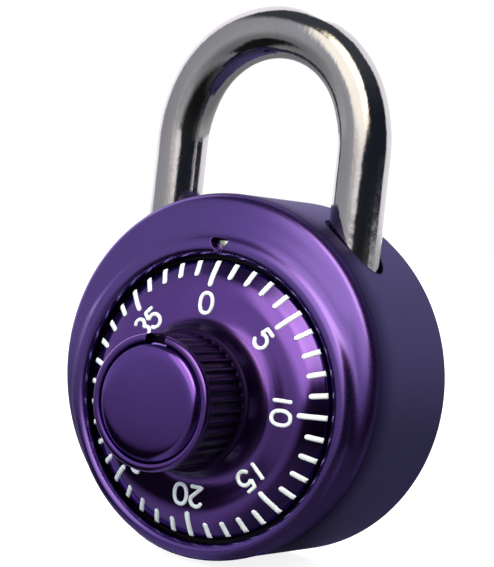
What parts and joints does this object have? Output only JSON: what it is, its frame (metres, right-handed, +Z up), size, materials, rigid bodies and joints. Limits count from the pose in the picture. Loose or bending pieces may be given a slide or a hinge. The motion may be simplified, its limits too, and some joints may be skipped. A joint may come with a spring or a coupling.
{
  "type": "combination padlock",
  "caption": "Round dial combination padlock with a fluted knob, bent rod shackle and a three-wheel lock inside.",
  "frame": {"origin": "centre of the flat back face, on the drum's axis", "axes": "+Z up through the shackle, the dial faces -Y, +X to the right as the dial is read"},
  "size_m": [0.048, 0.0346, 0.0734],
  "materials": {
    "case_anodised": "satin purple anodised",
    "dial_enamel": "glossy purple over metal",
    "cap_enamel": "glossy purple over metal",
    "rod_steel": "polished",
    "steel_sheet": "bright zinc plated",
    "steel_pins": "turned",
    "spring_steel": "drawn wire",
    "wheel_brass": "stamped",
    "dial_marks": "white paint on the dial's raised ticks and numerals",
    "nylon": "moulded"
  },
  "bodies": {
    "casing": {"outer_case": "case_anodised", "inner_case": "steel_sheet", "back_plate": "case_anodised", "pivot_pin": "steel_pins", "spring_anchor_pin": "steel_pins", "heel_stop_pin": "steel_pins", "wheel_hub": "steel_pins", "wheel_spring_washer": "spring_steel", "wheel_spacers": "steel_sheet", "hub_retaining_ring": "spring_steel", "heel_guide_block": "steel_sheet", "lever_spacer": "steel_pins", "latch_spacer": "steel_pins", "lever_spring": "spring_steel", "latch_spring": "spring_steel"},
    "dial_and_spindle": {"dial": "dial_enamel", "knob_cap": "cap_enamel", "dial_spindle": "steel_pins", "drive_cam": "wheel_brass", "cam_retaining_clip": "spring_steel", "dial_washer": "nylon"},
    "middle_wheel": {"middle_wheel": "wheel_brass"},
    "last_wheel": {"last_wheel": "wheel_brass"},
    "fence_lever": {"fence_lever": "steel_sheet"},
    "latch": {"latch": "steel_sheet"},
    "shackle": {"shackle": "rod_steel"}
  },
  "joints": [
    {"name": "dial_spin", "type": "hinge", "parent": "casing", "child": "dial_and_spindle", "pos_m": [0, -0.02, -0.0026], "axis": [0, 1, 0], "continuous": true},
    {"name": "middle_wheel_spin", "type": "hinge", "parent": "casing", "child": "middle_wheel", "pos_m": [0, -0.0153, -0.0026], "axis": [0, 1, 0], "continuous": true},
    {"name": "last_wheel_spin", "type": "hinge", "parent": "casing", "child": "last_wheel", "pos_m": [0, -0.0171, -0.0026], "axis": [0, 1, 0], "continuous": true},
    {"name": "shackle_lift", "type": "slide", "parent": "casing", "child": "shackle", "axis": [0, 0, 1], "range_m": [0, 0.012]},
    {"name": "latch_swing", "type": "hinge", "parent": "casing", "child": "latch", "pos_m": [-0.016, -0.011, -0.006], "axis": [0, 1, 0], "range_deg": [0, 24.8], "deforming": ["latch_spring"]},
    {"name": "fence_lever_swing", "type": "hinge", "parent": "casing", "child": "fence_lever", "pos_m": [-0.016, -0.011, -0.006], "axis": [0, 1, 0], "range_deg": [0, 1], "stiffness_Nm_per_rad": 0.002, "springref_deg": -20.05, "deforming": ["lever_spring"]}
  ],
  "couplings": [
    {"joint": "middle_wheel_spin", "follows": "dial_spin", "ratio": 1},
    {"joint": "last_wheel_spin", "follows": "dial_spin", "ratio": 1},
    {"joint": "latch_swing", "follows": "shackle_lift", "rad_per_m": 36}
  ]
}
